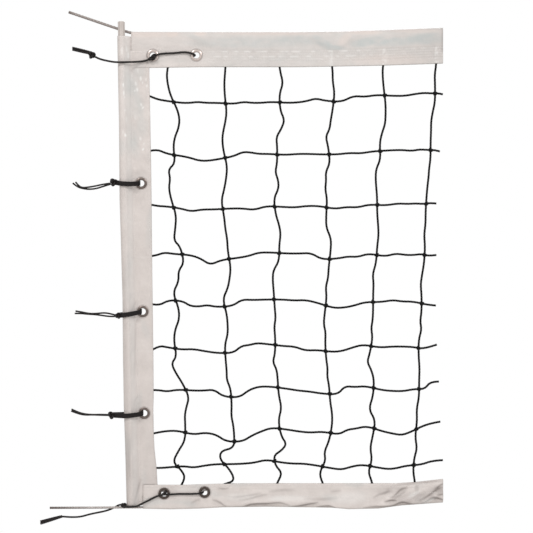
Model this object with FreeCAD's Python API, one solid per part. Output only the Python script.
"""End section of a volleyball net: vinyl bands, knotted mesh, dowel, two tension lines and five ties.

Millimetres. X runs along the net, away from its end; Y points to the back; Z is up. The origin is the
free end of the head cable, which is where the net is held. The mesh is cut square at the far side, where
the next span joins. Every y below is measured from the net's middle plane, and export() moves the pieces
so that the cable is at y = 0.
"""
import FreeCAD
import Part
import math
import os

V = FreeCAD.Vector

# ---------------------------------------------------------------- driving dimensions
NET_LEFT = 98.4          # from the cable's free end to the side band's left edge
HEAD_TOP = -39.6         # height of the head band's top edge
NET_HEIGHT = 955.0       # head band's top edge to foot band's bottom edge
SPAN = 650.0             # side band's left edge to the cut
HEAD_HEIGHT = 70.0
FOOT_HEIGHT = 50.0
SIDE_WIDTH = 60.0
SIDE_DROP = 10.4         # side band starts this far below the head band's top edge
SIDE_LIFT = 8.6          # and ends this far above the foot band's bottom edge
SIDE_LEAN = 1.117        # degrees, foot end leans away from the pole
TAPE = 0.8               # thickness of one ply of coated tape
PLY_GAP = 3.8            # room for the mesh cords between two plies
HEM_ROOM = 0.6           # play of a line in its hem
HEAD_OVAL = 14.0         # depth at which the head hem starts to narrow
HEAD_STITCH = 34.0       # depth of the head hem's stitching
FOOT_OVAL = 11.0
FOOT_STITCH = 20.0
HEAD_START = 1.6         # head band starts this far inside the pocket's seam
HEAD_RISE = 2.2          # degrees, last stretch of the head band
HEAD_RISE_AT = 424.0     # from the side band's left edge
FOOT_START = 50.2        # foot band's left end, from the side band's left edge
FOOT_RISE = 5.5
FOOT_RISE_AT = 534.0
BEND_RADIUS = 500.0      # bend of a band's edge where it starts to rise
MOUTH = 11.0             # cut-back of the head hem behind its front ply

POCKET_WIDTH = 25.0      # pocket, from the left edge to the seam
SEAM = 2.5               # width of the pocket's seam
LAP = 0.5                # two joined pieces run this far into each other
DOWEL_D = 14.0
DOWEL_ROOM = 0.3
DOWEL_ABOVE = 29.0       # bare end of the dowel above the pocket
TONGUE = 3.2             # side band where it is pressed flat inside the head and foot bands
HEAD_TONGUE = 49.0       # reach of the tongues from the side band's left edge
FOOT_TONGUE = 57.0
CLEAR = 0.4

HOLE_FIT = 0.1           # play of an eyelet's barrel in the tape and in its washer
EYELET_HOLE = 12.8
EYELET_BARREL = 14.4
EYELET_FLANGE = 23.0
EYELET_THICK = 1.2
WASHER_D = 22.0
WASHER_THICK = 1.0
HEAD_EYELETS = [(70.2, 47.6), (157.0, 47.2)]          # along, below the top edge
SIDE_EYELETS = [(41.0, 293.6), (39.0, 549.8), (38.0, 753.0)]   # in from the edge, down the side band
FOOT_EYELETS = [(92.6, 32.0), (173.4, 34.6)]          # along, above the bottom edge

CORD_D = 3.4
CORD_SHIFT = 2.1         # rows lie this far in front of the net's middle, columns behind it
LEVEL_UNTIL = 8.0        # a mesh cord stays in the middle this near to a band
SETTLED_AT = 26.0        # and has its whole shift this far from it
KNOT_D = 9.4
KNOT_CLEAR = 0.3         # play of a cord in its knot
CABLE_D = 5.6
CABLE_BEND = 80.0        # radius of the cable's bend where it enters its hem
CABLE_DROP = 30.7        # the cable's free stretch comes down this much
CABLE_RUN = 90.0         # over this length
CABLE_ENTRY = 4.4        # and bends level this far inside the head band
ROPE_D = 4.6
ROPE_REACH = 136.2       # bare end of the foot rope, left of the side band
HEAD_TIE_D = 4.2
FOOT_TIE_D = 3.6
SIDE_TIE_D = 2.6         # strands round the pocket, pulled tight
SIDE_TAIL_D = 3.0        # the same cord where it hangs loose
RIM_BEND = 5.0           # radius of a tie's bend round an eyelet's rim
HEAD_KNOT = (14.0, 13.0)     # knots: length and diameter
HEAD_HITCH = (16.0, 10.0)
FOOT_HITCH = (11.0, 8.0)
SIDE_KNOT = (14.0, 12.0)
HEAD_END_STRANDS = 2.0   # width of a doubled end, in cord diameters
FOOT_END_STRANDS = 2.1
SIDE_WRAP_STRANDS = 4    # strands side by side where a side tie goes round the pocket
STRAND_PITCH = 2.5

# ---------------------------------------------------------------- places worked out from them
PLY_OUT = PLY_GAP / 2 + TAPE
SIDE_LENGTH = NET_HEIGHT - SIDE_DROP - SIDE_LIFT
HEAD_BOTTOM = HEAD_TOP - HEAD_HEIGHT
FOOT_BOTTOM = HEAD_TOP - NET_HEIGHT
FOOT_TOP = FOOT_BOTTOM + FOOT_HEIGHT
SIDE_TOP = HEAD_TOP - SIDE_DROP
HEAD_LEFT = NET_LEFT + POCKET_WIDTH + HEAD_START
FOOT_LEFT = NET_LEFT + FOOT_START
CUT = NET_LEFT + SPAN
HEAD_HEM_R = CABLE_D / 2 + HEM_ROOM + TAPE
FOOT_HEM_R = ROPE_D / 2 + HEM_ROOM + TAPE
CABLE_Y = HEAD_HEM_R - PLY_OUT
CABLE_Z = HEAD_TOP - HEAD_HEM_R
ROPE_Y = FOOT_HEM_R - PLY_OUT
ROPE_Z = FOOT_BOTTOM + FOOT_HEM_R
POCKET_R = DOWEL_D / 2 + DOWEL_ROOM + TAPE
POCKET_Y = CABLE_Y - CABLE_D / 2 - CLEAR - DOWEL_D / 2     # the dowel passes in front of the cable
SINE = math.sin(math.radians(SIDE_LEAN))
COSINE = math.cos(math.radians(SIDE_LEAN))

# ---------------------------------------------------------------- cord routes, chosen by hand
# Mesh columns from the head band down, then mesh rows from the side band outwards: (x, z) of each point,
# drawn for a field with these edges: left, right, bottom, top.
FIELD = (158.4, 748.4, -944.6, -109.6)
COLUMNS = [
    [(201, -98), (196, -119), (197, -140), (203, -166), (217, -194), (222, -215), (219, -234),
     (212, -250), (209, -270), (213, -302), (199, -315), (203, -333), (200, -352), (205, -376),
     (215, -406), (213, -433), (210, -457), (223, -469), (231, -501), (219, -518), (220, -539),
     (208, -562), (220, -592), (221, -615), (213, -634), (210, -657), (216, -689), (205, -703),
     (214, -722), (227, -742), (241, -770), (235, -791), (232, -807), (233, -825), (233, -857),
     (218, -880), (208, -901), (226, -917), (233, -936), (223, -956)],
    [(314, -98), (313, -119), (311, -141), (312, -167), (316, -199), (313, -221), (309, -238),
     (307, -254), (309, -276), (317, -308), (315, -332), (311, -354), (305, -378), (311, -410),
     (313, -433), (317, -454), (318, -478), (324, -510), (322, -532), (318, -553), (308, -574),
     (316, -604), (318, -626), (318, -645), (312, -666), (314, -698), (316, -719), (316, -736),
     (324, -754), (326, -786), (325, -808), (329, -826), (331, -846), (331, -872), (304, -878),
     (302, -895), (320, -913), (330, -930), (327, -941), (313, -946), (301, -953)],
    [(420, -98), (423, -120), (429, -142), (421, -165), (423, -197), (432, -216), (425, -234),
     (415, -250), (417, -269), (417, -301), (413, -320), (419, -336), (420, -353), (410, -373),
     (414, -405), (421, -426), (424, -445), (421, -466), (421, -498), (409, -517), (408, -536),
     (410, -559), (412, -591), (414, -612), (411, -630), (413, -650), (413, -682), (408, -700),
     (416, -715), (418, -735), (420, -767), (426, -792), (419, -817), (425, -849), (436, -864),
     (426, -877), (410, -887), (413, -907), (427, -922), (418, -940), (412, -954)],
    [(525, -96), (528, -116), (528, -138), (532, -163), (528, -195), (524, -217), (522, -234),
     (514, -249), (519, -269), (523, -301), (514, -320), (515, -337), (513, -354), (517, -375),
     (515, -407), (515, -431), (525, -453), (524, -478), (520, -510), (519, -532), (514, -550),
     (516, -571), (512, -603), (510, -624), (514, -641), (513, -662), (515, -694), (518, -713),
     (517, -729), (521, -748), (523, -780), (527, -803), (527, -826), (521, -858), (511, -880),
     (514, -898), (502, -920), (505, -937), (514, -955)],
    [(631, -94), (628, -110), (628, -128), (630, -151), (634, -183), (634, -206), (633, -224),
     (627, -241), (622, -262), (624, -294), (615, -314), (614, -331), (615, -348), (617, -370),
     (617, -402), (619, -425), (620, -446), (617, -470), (615, -502), (608, -524), (610, -543),
     (609, -564), (609, -596), (608, -617), (605, -633), (608, -652), (602, -684), (597, -700),
     (605, -715), (611, -736), (609, -768), (600, -795), (614, -817), (608, -849), (603, -872),
     (607, -896), (599, -920), (606, -938), (610, -955)],
    [(735, -90), (735, -106), (732, -125), (733, -147), (733, -179), (728, -201), (725, -219),
     (725, -237), (724, -260), (724, -292), (721, -313), (720, -330), (718, -346), (716, -367),
     (714, -399), (714, -423), (711, -446), (713, -470), (711, -502), (707, -525), (704, -545),
     (706, -567), (706, -599), (703, -619), (706, -635), (700, -656), (700, -688), (702, -713),
     (701, -738), (701, -770), (696, -794), (697, -818), (693, -850), (697, -873), (691, -893),
     (689, -919), (692, -938), (694, -954)],
]
ROWS = [
    [(155, -165), (174, -174), (195, -178), (225, -182), (243, -182), (258, -180), (275, -182),
     (298, -182), (330, -184), (350, -180), (367, -182), (384, -182), (406, -180), (438, -182),
     (460, -181), (478, -178), (494, -173), (514, -178), (546, -180), (569, -168), (592, -170),
     (616, -166), (648, -168), (672, -168), (694, -164), (711, -162), (725, -163), (741, -163),
     (748, -165)],
    [(157, -279), (175.5, -274), (197, -284), (225, -288), (244, -292), (259, -297), (276, -298),
     (297, -295), (329, -289), (348, -280), (364, -281), (380, -284), (401, -284), (433, -286),
     (458, -284), (480, -284), (505, -285), (537, -285), (562, -282), (584, -283), (607, -279),
     (639, -277), (665, -276), (686, -278), (702, -275), (717, -276), (731, -276), (742, -279)],
    [(158, -384), (176, -388), (196, -389), (224, -393), (245, -399), (267, -395), (292, -395),
     (324, -393), (348, -393), (371, -396), (396, -388), (428, -390), (453, -391), (475, -388),
     (500, -388), (532, -394), (556, -390), (578, -391), (601, -385), (633, -387), (658, -383),
     (677, -384), (694, -383), (709, -384), (721, -382), (735, -383)],
    [(159, -489), (175, -487), (191, -481), (211, -484), (243, -486), (264, -493), (283, -506),
     (305, -496), (337, -492), (360, -488), (380, -481), (405, -481), (437, -483), (462, -483),
     (485, -482), (506, -495), (538, -493), (558, -489), (578, -490), (600, -483), (632, -489),
     (654, -483), (674, -486), (690, -486), (705, -484), (719, -488), (735, -486)],
    [(161, -583), (179, -588), (200, -576), (228, -578), (243, -588), (261, -589), (277, -586),
     (296, -590), (328, -588), (346, -575), (369, -576), (395, -575), (427, -575), (452, -577),
     (474, -576), (499, -582), (529, -592), (552, -591), (571, -587), (593, -580), (625, -580),
     (648, -576), (667, -579), (683, -579), (698, -581), (714, -585), (734, -587)],
    [(161, -680), (179, -667), (200, -671), (226, -675), (249, -674), (271, -678), (297, -682),
     (329, -682), (345, -668), (361, -666), (377, -662), (397, -664), (429, -668), (452, -669),
     (473, -677), (498, -676), (530, -680), (550, -677), (567, -671), (589, -665), (621, -671),
     (647, -669), (669, -669), (690, -670), (710, -674), (736, -665)],
    [(163, -756), (179, -756), (197, -759), (218, -755), (250, -757), (271, -757), (291, -755),
     (309, -769), (341, -771), (360, -756), (380, -749), (403, -749), (435, -753), (459, -757),
     (482, -759), (506, -763), (538, -765), (552, -748), (572, -750), (594, -748), (626, -756),
     (650, -758), (670, -758), (690, -754), (712, -754), (723, -739), (740, -739)],
    [(164, -844), (178, -841), (195, -838), (217, -837), (249, -845), (273, -841), (295, -845),
     (315, -859), (347, -859), (366, -847), (384, -839), (406, -831), (438, -835), (462, -839),
     (484, -841), (508, -839), (540, -845), (557, -835), (574, -833), (596, -828), (626, -838),
     (648, -843), (666, -846), (683, -840), (707, -828), (726, -822), (743, -819)],
    [(167, -912), (184, -912), (204, -910), (230, -908), (250, -911), (271, -907), (295, -904),
     (327, -904), (351, -903), (372, -901), (395, -895), (427, -901), (449, -903), (469, -903),
     (492, -906), (524, -912), (546, -915), (565, -909), (587, -905), (619, -911), (639, -914),
     (656, -912), (675, -907), (705, -905), (727, -897), (748, -896)],
]
# Ties: (x, y, z). Both lacings go through their two eyelets; the head tie comes back behind the band.
HEAD_TIE = [(50, -10, -88.5), (60, -13, -95), (78, -17, -100), (96, -21, -103.5), (114, -20.5, -103),
            (131, -11, -101.5), (146, -6.5, -100), (158, -6.8, -97.5), (169, -7.4, -91), (180, -6.4, -85),
            (195, -5.8, -83.5), (212, -5.2, -83), (229, -5.6, -81), (241, -6.4, -82), (252.5, -8.5, -86),
            (252.5, 8.5, -87), (238, 7.2, -88), (220, 6, -85.5), (200, 6.2, -88), (185, 7, -88.5),
            (171, 8.5, -89.5), (171, -4.9, -91)]
FOOT_TIE = [(-15, -3, -1008.3), (-1, -3.5, -1009.4), (13, -3, -1009.8), (26, -2, -1008.8), (41, -1, -1004.5),
            (56, 0, -1001.5), (71, 2.5, -999), (84, 6.5, -995), (94, 7, -990), (103, 1.5, -986),
            (109, -8, -985.2), (116, -18.5, -987), (128, -20, -986.5), (139, -15, -986), (149, -8, -981),
            (163, -5.4, -974.5), (176, -6.4, -967.5), (189, -7.2, -964), (203, -6, -964.2),
            (220, -5.2, -963), (239, -5.4, -963.2), (255, -6.2, -962.6), (268.8, -8, -961.4),
            (268.8, 7, -960.5)]
HEAD_KNOT_AT = (47.4, -10, -87.4)
HEAD_END = ((8.6, -10, -74.8), (43, -10, -82.6))
HEAD_HITCH_AT = (169.6, -9.2, -92)
FOOT_END = ((-56, -3, -1020.6), (-15.6, -3, -1008.6))
FOOT_HITCH_AT = (110, -6.5, -984.4)
# Side ties: each knot is measured from its eyelet, and its two tails from the knot.
SIDE_KNOTS = [(-54.1, -8.6, 1.7), (-48.7, -8.6, -8.1), (-64.1, -8.6, -3.3)]
SIDE_TAILS = [
    [[(-6, -1.4, -2), (-21, -1.8, -4), (-36, -1.4, -7.5), (-51, -1.6, -10), (-63, -2, -11),
      (-70, -1.8, -7), (-76, -1.4, 0.5)],
     [(-6, 1.6, -3.5), (-21, 1.8, -8), (-35, 2.2, -12.5), (-49, 1.8, -14), (-62, 1.6, -12.5),
      (-73, 2, -9), (-82, 2.2, -1.5)]],
    [[(-6.4, -1.4, 1.5), (-16.4, -1.8, 4.5), (-28.4, -1.6, 5.8), (-43.4, -2, 4.2),
      (-57.4, -1.6, 4.2), (-70.4, -1.8, 7), (-84.4, -1.4, 9.2)],
     [(-6.4, 1.6, -1.6), (-17.4, 2, -1.8), (-32.4, 2.2, 0.5), (-47.4, 1.8, 2.4), (-61.4, 1.6, 3),
      (-73.4, 2, 4.5), (-86.4, 1.8, 4.4)]],
    [[(-6, -1.4, 1), (-21, -1.8, 1.6), (-37, -1.6, 1), (-53, -2, 2.2), (-67, -1.6, 5.8),
      (-80, -1.4, 12)],
     [(-6, 1.6, -0.4), (-22, 2, -0.2), (-39, 1.8, 0.6), (-54, 2.2, 0), (-68, 1.8, 3),
      (-81, 1.6, 8.2)]],
]
# Round the pocket, seen from above and measured from the eyelet's centre: front half, then back half.
WRAP_FRONT = [(-1.8, 0), (-1.8, -9), (-20, -18), (-37, -20.6)]
WRAP_BACK = [(-1.8, 0), (-1.8, 9), (-19, 6), (-37, 3.6)]
WRAP_IN_KNOT = 5.0       # the strands end this far inside the knot


# ---------------------------------------------------------------- helpers
def cord_path(points, fixed_radius=None):
    """Straight runs joined by tangent arcs; each arc is as large as its two runs allow."""
    pts = [V(*p) for p in points]
    edges = []
    radii = []
    start = pts[0]
    for i in range(1, len(pts) - 1):
        before = pts[i] - pts[i - 1]
        after = pts[i + 1] - pts[i]
        half = before.getAngle(after) / 2
        reach = 0.45 * min(before.Length, after.Length)
        radius = reach / math.tan(half)
        if fixed_radius and i in fixed_radius:
            radius = min(radius, fixed_radius[i])
            reach = radius * math.tan(half)
        radii.append(radius)
        before.normalize()
        after.normalize()
        enter = pts[i] - before * reach
        leave = pts[i] + after * reach
        bow = (after - before).normalize()
        middle = pts[i] + bow * (radius / math.cos(half) - radius)
        edges.append(Part.LineSegment(start, enter).toShape())
        edges.append(Part.Arc(enter, middle, leave).toShape())
        start = leave
    edges.append(Part.LineSegment(start, pts[-1]).toShape())
    return Part.Wire(edges), radii


def tube(name, points, diameter, fixed_radius=None):
    """Round cord along the path, with its radii and volume printed for checking."""
    path, radii = cord_path(points, fixed_radius)
    first = path.Edges[0]
    direction = first.tangentAt(first.FirstParameter)
    ring = Part.Wire(Part.Circle(V(*points[0]), direction, diameter / 2).toShape())
    solid = path.makePipeShell([ring], True, False)
    if solid.Volume < 0:
        solid.reverse()
    expected = math.pi * diameter ** 2 / 4 * path.Length
    print("%-24s length %7.1f  least radius %5.1f (%.1f d)  volume ratio %.4f"
          % (name, path.Length, min(radii), min(radii) / diameter, solid.Volume / expected))
    return solid


def face_from(edges):
    return Part.Face(Part.Wire(edges))


def polygon(points):
    return Part.makePolygon([V(*p) for p in points] + [V(*points[0])])


def cylinder_y(x, z, radius):
    """Drill straight through a band."""
    reach = 40.0
    return Part.makeCylinder(radius, 2 * reach, V(x, -reach, z), V(0, 1, 0))


def side_point(inward, down, y=0.0):
    """A place on the leaning side band, from its left edge and its top."""
    return V(NET_LEFT + inward * COSINE + down * SINE, y, SIDE_TOP + inward * SINE - down * COSINE)


def lean(shape):
    """Put a piece that was made upright at the side band's top left corner onto the leaning band."""
    shape.rotate(V(0, 0, 0), V(0, 1, 0), -SIDE_LEAN)
    shape.translate(V(NET_LEFT, 0, SIDE_TOP))
    return shape


def lump(centre, axis, length, diameter):
    """Egg-shaped knot."""
    a, b = length / 2, diameter / 2
    if abs(a - b) < 1e-6:
        return Part.makeSphere(b, V(*centre))
    major, minor = (V(a, 0, 0), V(0, b, 0)) if a > b else (V(0, b, 0), V(a, 0, 0))
    ellipse = Part.Ellipse(major, minor, V(0, 0, 0))
    angle = (0, math.pi) if a > b else (-math.pi / 2, math.pi / 2)
    arc = Part.ArcOfEllipse(ellipse, angle[0], angle[1]).toShape()
    ends = [vertex.Point for vertex in arc.Vertexes]
    half = face_from([arc, Part.LineSegment(ends[1], ends[0]).toShape()])
    solid = half.revolve(V(0, 0, 0), V(1, 0, 0), 360)
    if solid.Volume < 0:
        solid.reverse()
    solid.Placement = FreeCAD.Placement(V(*centre), FreeCAD.Rotation(V(1, 0, 0), V(*axis)))
    return solid


# ---------------------------------------------------------------- bands
def hem_profile(x, edge_z, down, hem_r, oval, stitch, height):
    """Closed outline of a tape folded over a line: a round fold, a slack oval, then two plies."""
    def at(y, s):
        return V(x, y, edge_z + down * s)
    back = 2 * hem_r - PLY_OUT
    centre = hem_r - PLY_OUT
    inner = hem_r - TAPE
    outline = [
        Part.LineSegment(at(-PLY_OUT, height), at(-PLY_OUT, hem_r)).toShape(),
        Part.Arc(at(-PLY_OUT, hem_r), at(centre, 0), at(back, hem_r)).toShape(),
        Part.LineSegment(at(back, hem_r), at(back, oval)).toShape(),
        Part.LineSegment(at(back, oval), at(PLY_OUT, stitch)).toShape(),
        Part.LineSegment(at(PLY_OUT, stitch), at(PLY_OUT, height)).toShape(),
        Part.LineSegment(at(PLY_OUT, height), at(PLY_OUT - TAPE, height)).toShape(),
        Part.LineSegment(at(PLY_OUT - TAPE, height), at(PLY_OUT - TAPE, stitch)).toShape(),
        Part.LineSegment(at(PLY_OUT - TAPE, stitch), at(back - TAPE, oval)).toShape(),
        Part.LineSegment(at(back - TAPE, oval), at(back - TAPE, hem_r)).toShape(),
        Part.Arc(at(back - TAPE, hem_r), at(centre, hem_r - inner), at(TAPE - PLY_OUT, hem_r)).toShape(),
        Part.LineSegment(at(TAPE - PLY_OUT, hem_r), at(TAPE - PLY_OUT, height)).toShape(),
        Part.LineSegment(at(TAPE - PLY_OUT, height), at(-PLY_OUT, height)).toShape(),
    ]
    return Part.Wire(outline)


def band_path(start_x, edge_z, rise_at, rise):
    """Edge line of a band: level, a wide bend, then the rising end."""
    turn = math.radians(rise)
    reach = BEND_RADIUS * math.tan(turn / 2)
    corner = V(NET_LEFT + rise_at, 0, edge_z)
    way = V(math.cos(turn), 0, math.sin(turn))
    enter = corner - V(reach, 0, 0)
    leave = corner + way * reach
    inside = V(-math.sin(turn / 2), 0, math.cos(turn / 2))
    middle = corner + inside * (BEND_RADIUS / math.cos(turn / 2) - BEND_RADIUS)
    end = corner + way * ((CUT - corner.x) / way.x)
    return Part.Wire([Part.LineSegment(V(start_x, 0, edge_z), enter).toShape(),
                      Part.Arc(enter, middle, leave).toShape(),
                      Part.LineSegment(leave, end).toShape()])


def sweep_band(path, profile):
    solid = path.makePipeShell([profile], True, False)
    if solid.Volume < 0:
        solid.reverse()
    return solid


def make_head_band():
    path = band_path(HEAD_LEFT, HEAD_TOP, HEAD_RISE_AT, HEAD_RISE)
    profile = hem_profile(HEAD_LEFT, HEAD_TOP, -1, HEAD_HEM_R, HEAD_OVAL, HEAD_STITCH, HEAD_HEIGHT)
    band = sweep_band(path, profile)
    corner = V(HEAD_LEFT - LAP, TAPE - PLY_OUT, HEAD_TOP - MOUTH)
    mouth = Part.makeBox(MOUTH + LAP, 4 * HEAD_HEM_R, MOUTH + LAP, corner)
    band = band.cut(mouth)
    for along, down in HEAD_EYELETS:
        band = band.cut(cylinder_y(NET_LEFT + along, HEAD_TOP - down, EYELET_BARREL / 2 + HOLE_FIT))
    return band


def make_foot_band():
    path = band_path(FOOT_LEFT, FOOT_BOTTOM, FOOT_RISE_AT, FOOT_RISE)
    profile = hem_profile(FOOT_LEFT, FOOT_BOTTOM, 1, FOOT_HEM_R, FOOT_OVAL, FOOT_STITCH, FOOT_HEIGHT)
    band = sweep_band(path, profile)
    for along, up in FOOT_EYELETS:
        band = band.cut(cylinder_y(NET_LEFT + along, FOOT_BOTTOM + up, EYELET_BARREL / 2 + HOLE_FIT))
    return band


def pocket_outline(radius, seam_x, front_y, back_y):
    """Tear-drop round the dowel, seen from above; its point is the seam."""
    centre = V(POCKET_R, POCKET_Y, 0)

    def touch(corner, side):
        away = corner - centre
        angle = math.atan2(away.y, away.x) + side * math.acos(radius / away.Length)
        return centre + V(math.cos(angle), math.sin(angle), 0) * radius

    front = V(seam_x, front_y, 0)
    back = V(seam_x, back_y, 0)
    front_touch = touch(front, -1)
    back_touch = touch(back, 1)
    return [Part.LineSegment(front, front_touch).toShape(),
            Part.Arc(front_touch, centre - V(radius, 0, 0), back_touch).toShape(),
            Part.LineSegment(back_touch, back).toShape(),
            Part.LineSegment(back, front).toShape()]


def make_side_band():
    down = V(0, 0, -SIDE_LENGTH)
    outer = face_from(pocket_outline(POCKET_R, POCKET_WIDTH, -PLY_OUT, PLY_OUT)).extrude(down)
    inner = face_from(pocket_outline(POCKET_R - TAPE, POCKET_WIDTH - SEAM, TAPE - PLY_OUT - SEAM,
                                     PLY_OUT - 2 * TAPE))
    pocket = outer.cut(inner.extrude(V(0, 0, TAPE - SIDE_LENGTH)))
    plies = Part.makeBox(SIDE_WIDTH - POCKET_WIDTH + LAP, 2 * PLY_OUT, SIDE_LENGTH,
                         V(POCKET_WIDTH - LAP, -PLY_OUT, -SIDE_LENGTH))
    gap = Part.makeBox(SIDE_WIDTH, PLY_GAP, SIDE_LENGTH + 2, V(POCKET_WIDTH, -PLY_GAP / 2, -SIDE_LENGTH - 1))
    plies = plies.cut(gap)
    tongues = []
    side_bottom = SIDE_TOP - SIDE_LENGTH
    for reach, low, high in ((HEAD_TONGUE, HEAD_BOTTOM, SIDE_TOP), (FOOT_TONGUE, side_bottom, FOOT_TOP)):
        tongues.append(Part.makeBox(reach - POCKET_WIDTH + SEAM / 2, TONGUE, high - low,
                                    V(POCKET_WIDTH - SEAM / 2, -TONGUE / 2, low - SIDE_TOP)))
    pocket = lean(pocket)
    plies = lean(plies)
    tongues = [lean(piece) for piece in tongues]
    # The plies stop where the head and foot bands take over.
    depth = 4 * POCKET_R
    above = Part.makeBox(SPAN, 2 * depth, HEAD_HEIGHT, V(HEAD_LEFT - CLEAR, -depth, HEAD_BOTTOM - CLEAR))
    below = Part.makeBox(SPAN, 2 * depth, FOOT_HEIGHT + TAPE,
                         V(FOOT_LEFT - CLEAR, -depth, FOOT_BOTTOM - TAPE + CLEAR))
    plies = plies.cut(above).cut(below)
    band = pocket.fuse(plies).fuse(tongues[0]).fuse(tongues[1])
    for inward, along in SIDE_EYELETS:
        place = side_point(inward, along)
        band = band.cut(cylinder_y(place.x, place.z, EYELET_BARREL / 2 + HOLE_FIT))
    return band


# ---------------------------------------------------------------- small hardware
def eyelet_places():
    places = [V(NET_LEFT + along, 0, HEAD_TOP - down) for along, down in HEAD_EYELETS]
    places += [side_point(inward, down) for inward, down in SIDE_EYELETS]
    places += [V(NET_LEFT + along, 0, FOOT_BOTTOM + up) for along, up in FOOT_EYELETS]
    return places


def spin(profile, place):
    """Turn an outline of (radius, y) points round a Y axis through the place."""
    face = Part.Face(polygon([(radius, y, 0) for radius, y in profile]))
    solid = face.revolve(V(0, 0, 0), V(0, 1, 0), 360)
    solid.translate(place)
    return solid


def make_eyelets():
    """Barrel with a domed flange in front, curled over the washer behind."""
    hole, barrel, flange = EYELET_HOLE / 2, EYELET_BARREL / 2, EYELET_FLANGE / 2
    front = -PLY_OUT
    back = PLY_OUT + WASHER_THICK
    profile = [(hole, front - 0.3 * EYELET_THICK), (hole + 0.6, front - 0.9 * EYELET_THICK),
               (hole + 1.8, front - EYELET_THICK), (flange - 1.6, front - EYELET_THICK),
               (flange - 0.4, front - 0.6 * EYELET_THICK), (flange, front),
               (barrel, front), (barrel, back), (barrel + 1.4, back), (barrel + 1.0, back + 0.6),
               (barrel, back + 0.8), (hole + 0.4, back + 0.5), (hole, back)]
    return [spin(profile, place) for place in eyelet_places()]


def make_washers():
    inner, outer = EYELET_BARREL / 2 + HOLE_FIT, WASHER_D / 2
    profile = [(inner, PLY_OUT), (outer, PLY_OUT), (outer, PLY_OUT + 0.6 * WASHER_THICK),
               (outer - 0.5, PLY_OUT + WASHER_THICK), (inner, PLY_OUT + WASHER_THICK)]
    return [spin(profile, place) for place in eyelet_places()]


def make_dowel():
    bottom = -SIDE_LENGTH + TAPE
    rod = Part.makeCylinder(DOWEL_D / 2, DOWEL_ABOVE - bottom, V(POCKET_R, POCKET_Y, bottom), V(0, 0, 1))
    rod = rod.makeChamfer(0.8, [edge for edge in rod.Edges if edge.Curve.TypeId == "Part::GeomCircle"])
    return lean(rod)


# ---------------------------------------------------------------- lines, mesh and ties
def cable_route():
    return [(0, CABLE_Y, 0), (CABLE_RUN, CABLE_Y, -CABLE_DROP), (HEAD_LEFT + CABLE_ENTRY, CABLE_Y, CABLE_Z),
            (CUT, CABLE_Y, CABLE_Z)]


def rope_route():
    rise_x = NET_LEFT + FOOT_RISE_AT
    climb = (CUT - rise_x) * math.tan(math.radians(FOOT_RISE))
    return [(NET_LEFT - ROPE_REACH, ROPE_Y, ROPE_Z - 0.9), (60, ROPE_Y, ROPE_Z - 0.5), (106, ROPE_Y, ROPE_Z),
            (rise_x, ROPE_Y, ROPE_Z), (CUT, ROPE_Y, ROPE_Z + climb)]


def settle(depth, gap):
    """Distance of a mesh cord from the net's middle, at this gap from the nearest band."""
    return depth * min(1.0, max(0.0, (gap - LEVEL_UNTIL) / (SETTLED_AT - LEVEL_UNTIL)))


def field_place(point):
    """Where a point of the mesh's field lies on the net."""
    left, right, bottom, top = FIELD
    edge_x = NET_LEFT + SIDE_WIDTH
    x = CUT + (point[0] - right) * (CUT - edge_x) / (right - left)
    z = HEAD_BOTTOM + (point[1] - top) * (HEAD_BOTTOM - FOOT_TOP) / (top - bottom)
    return x, z


def row_route(points):
    places = [field_place(point) for point in points]
    edge_x = NET_LEFT + SIDE_WIDTH
    return [(x, settle(-CORD_SHIFT, x - edge_x - (SIDE_TOP - z) * SINE), z) for x, z in places]


def column_route(points):
    places = [field_place(point) for point in points]
    return [(x, settle(CORD_SHIFT, min(HEAD_BOTTOM - z, z - FOOT_TOP)), z) for x, z in places]


def crossing(row, column):
    """Where a row's run crosses a column's run, with both directions."""
    row = [field_place(point) for point in row]
    column = [field_place(point) for point in column]
    for (ax, az), (bx, bz) in zip(row[:-1], row[1:]):
        for (cx, cz), (dx, dz) in zip(column[:-1], column[1:]):
            rx, rz, sx, sz = bx - ax, bz - az, dx - cx, dz - cz
            area = rx * sz - rz * sx
            if abs(area) < 1e-9:
                continue
            t = ((cx - ax) * sz - (cz - az) * sx) / area
            u = ((cx - ax) * rz - (cz - az) * rx) / area
            if 0 <= t <= 1 and 0 <= u <= 1:
                return V(ax + t * rx, 0, az + t * rz), V(rx, 0, rz).normalize(), V(sx, 0, sz).normalize()
    raise ValueError("a row misses a column")


def make_mesh_knots():
    """One knot at each crossing, with a channel for each of its two cords."""
    bore = CORD_D / 2 + KNOT_CLEAR
    knots = []
    for row in ROWS:
        for column in COLUMNS:
            place, along, down = crossing(row, column)
            # The sphere's seam runs between the two channels, clear of both.
            seam = along + down if along.dot(down) <= 0 else along - down
            knot = Part.makeSphere(KNOT_D / 2)
            turned = FreeCAD.Rotation(seam.normalize(), V(0, 0, 0), V(0, 1, 0), "ZXY")
            knot.Placement = FreeCAD.Placement(place, turned)
            for way, shift in ((along, -CORD_SHIFT), (down, CORD_SHIFT)):
                start = place + V(0, shift, 0) - way * KNOT_D
                knot = knot.cut(Part.makeCylinder(bore, 2 * KNOT_D, start, way))
            knots.append(knot)
    return knots


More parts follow.
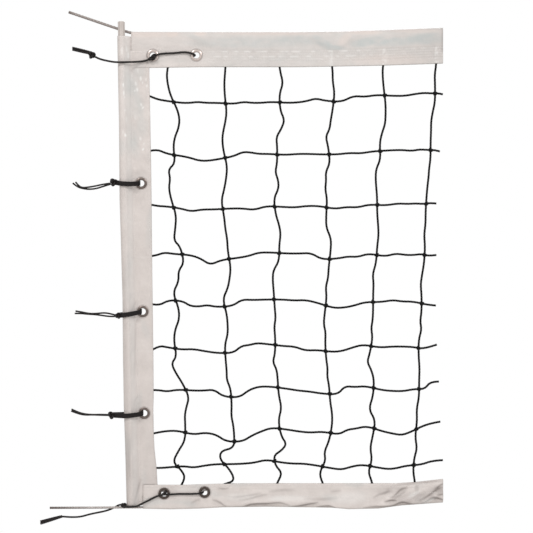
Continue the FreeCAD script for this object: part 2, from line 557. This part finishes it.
def flat_end(start, end, width, thickness):
    """A doubled end: two strands side by side, as one flat bar with round edges."""
    way = V(*end) - V(*start)
    half = (width - thickness) / 2
    r = thickness / 2
    outline = [Part.LineSegment(V(0, -r, -half), V(0, -r, half)).toShape(),
               Part.Arc(V(0, -r, half), V(0, 0, half + r), V(0, r, half)).toShape(),
               Part.LineSegment(V(0, r, half), V(0, r, -half)).toShape(),
               Part.Arc(V(0, r, -half), V(0, 0, -half - r), V(0, -r, -half)).toShape()]
    bar = face_from(outline).extrude(V(way.Length, 0, 0))
    slant = FreeCAD.Rotation(V(0, 1, 0), -math.degrees(math.atan2(way.z, way.x)))
    bar.Placement = FreeCAD.Placement(V(*start), slant)
    return bar


def make_wrap(place, knot):
    """Strands of a side tie round the pocket: one flat loop from the knot through the eyelet and back."""
    height = SIDE_WRAP_STRANDS * STRAND_PITCH
    drop = knot.z - place.z
    knot_side = (knot.x + SIDE_KNOT[0] / 2 - WRAP_IN_KNOT) - place.x

    def half_loop(points, name, side_y):
        whole = points + [(knot_side, knot.y + side_y)]
        route = [(place.x + x, y, place.z + drop * (x / knot_side) ** 2) for x, y in whole]
        path, radii = cord_path(route)
        print("%-24s least radius %5.1f (%.1f d)" % (name, min(radii), min(radii) / SIDE_TIE_D))
        r = SIDE_TIE_D / 2
        first = path.Edges[0]
        way = first.tangentAt(first.FirstParameter)
        side = way.cross(V(0, 0, 1)).normalize()
        start = V(*route[0])
        corners = [start + side * (a * r) + V(0, 0, b * height / 2)
                   for a, b in ((-1, -1), (1, -1), (1, 1), (-1, 1))]
        profile = Part.makePolygon(corners + [corners[0]])
        solid = path.makePipeShell([profile], True, False)
        if solid.Volume < 0:
            solid.reverse()
        return solid

    front = half_loop(WRAP_FRONT, "wrap front", -SIDE_TIE_D / 2)
    return front.fuse(half_loop(WRAP_BACK, "wrap back", SIDE_TIE_D / 2))


def export(name, shape):
    solids = shape if isinstance(shape, list) else [shape]
    for solid in solids:
        if not solid.isValid() or solid.Volume <= 0:
            print("BAD SOLID", name)
    whole = solids[0] if len(solids) == 1 else Part.makeCompound(solids)
    whole.translate(V(0, -CABLE_Y, 0))
    if isinstance(whole, Part.Compound) and len(whole.Solids) == 1:
        whole = whole.Solids[0]
    whole.exportStep("parts/%s.step" % name)


def build():
    os.makedirs("parts", exist_ok=True)
    export("head_band", make_head_band())
    export("side_band", make_side_band())
    export("foot_band", make_foot_band())
    export("dowel", make_dowel())
    export("eyelets", make_eyelets())
    export("eyelet_washers", make_washers())
    export("head_cable", tube("head_cable", cable_route(), CABLE_D, {2: CABLE_BEND}))
    export("foot_rope", tube("foot_rope", rope_route(), ROPE_D))
    for i, points in enumerate(COLUMNS):
        name = "mesh_column_%d" % (i + 1)
        export(name, tube(name, column_route(points), CORD_D))
    for i, points in enumerate(ROWS):
        name = "mesh_row_%d" % (i + 1)
        export(name, tube(name, row_route(points), CORD_D))
    export("mesh_knots", make_mesh_knots())
    rim = RIM_BEND
    export("head_tie", tube("head_tie", HEAD_TIE, HEAD_TIE_D, {14: rim, 15: rim, 20: rim}))
    export("head_tie_knot", lump(HEAD_KNOT_AT, (1, 0, -0.5), *HEAD_KNOT))
    export("head_tie_end", flat_end(*HEAD_END, HEAD_END_STRANDS * HEAD_TIE_D, HEAD_TIE_D))
    export("head_tie_hitch", lump(HEAD_HITCH_AT, (1, 0, 0.45), *HEAD_HITCH))
    export("foot_tie", tube("foot_tie", FOOT_TIE, FOOT_TIE_D, {22: rim}))
    export("foot_tie_end", flat_end(*FOOT_END, FOOT_END_STRANDS * FOOT_TIE_D, FOOT_TIE_D))
    export("foot_tie_hitch", lump(FOOT_HITCH_AT, (1, -0.6, 0.2), *FOOT_HITCH))
    for i, (inward, down) in enumerate(SIDE_EYELETS):
        name = "side_tie_%d" % (i + 1)
        eyelet = side_point(inward, down)
        knot = eyelet + V(*SIDE_KNOTS[i])
        export(name + "_wrap", make_wrap(eyelet, knot))
        export(name + "_knot", lump(knot, (1, 0, 0.2), *SIDE_KNOT))
        for k, tail in enumerate(SIDE_TAILS[i]):
            tail_name = "%s_tail_%d" % (name, k + 1)
            export(tail_name, tube(tail_name, [knot + V(*point) for point in tail], SIDE_TAIL_D))


build()
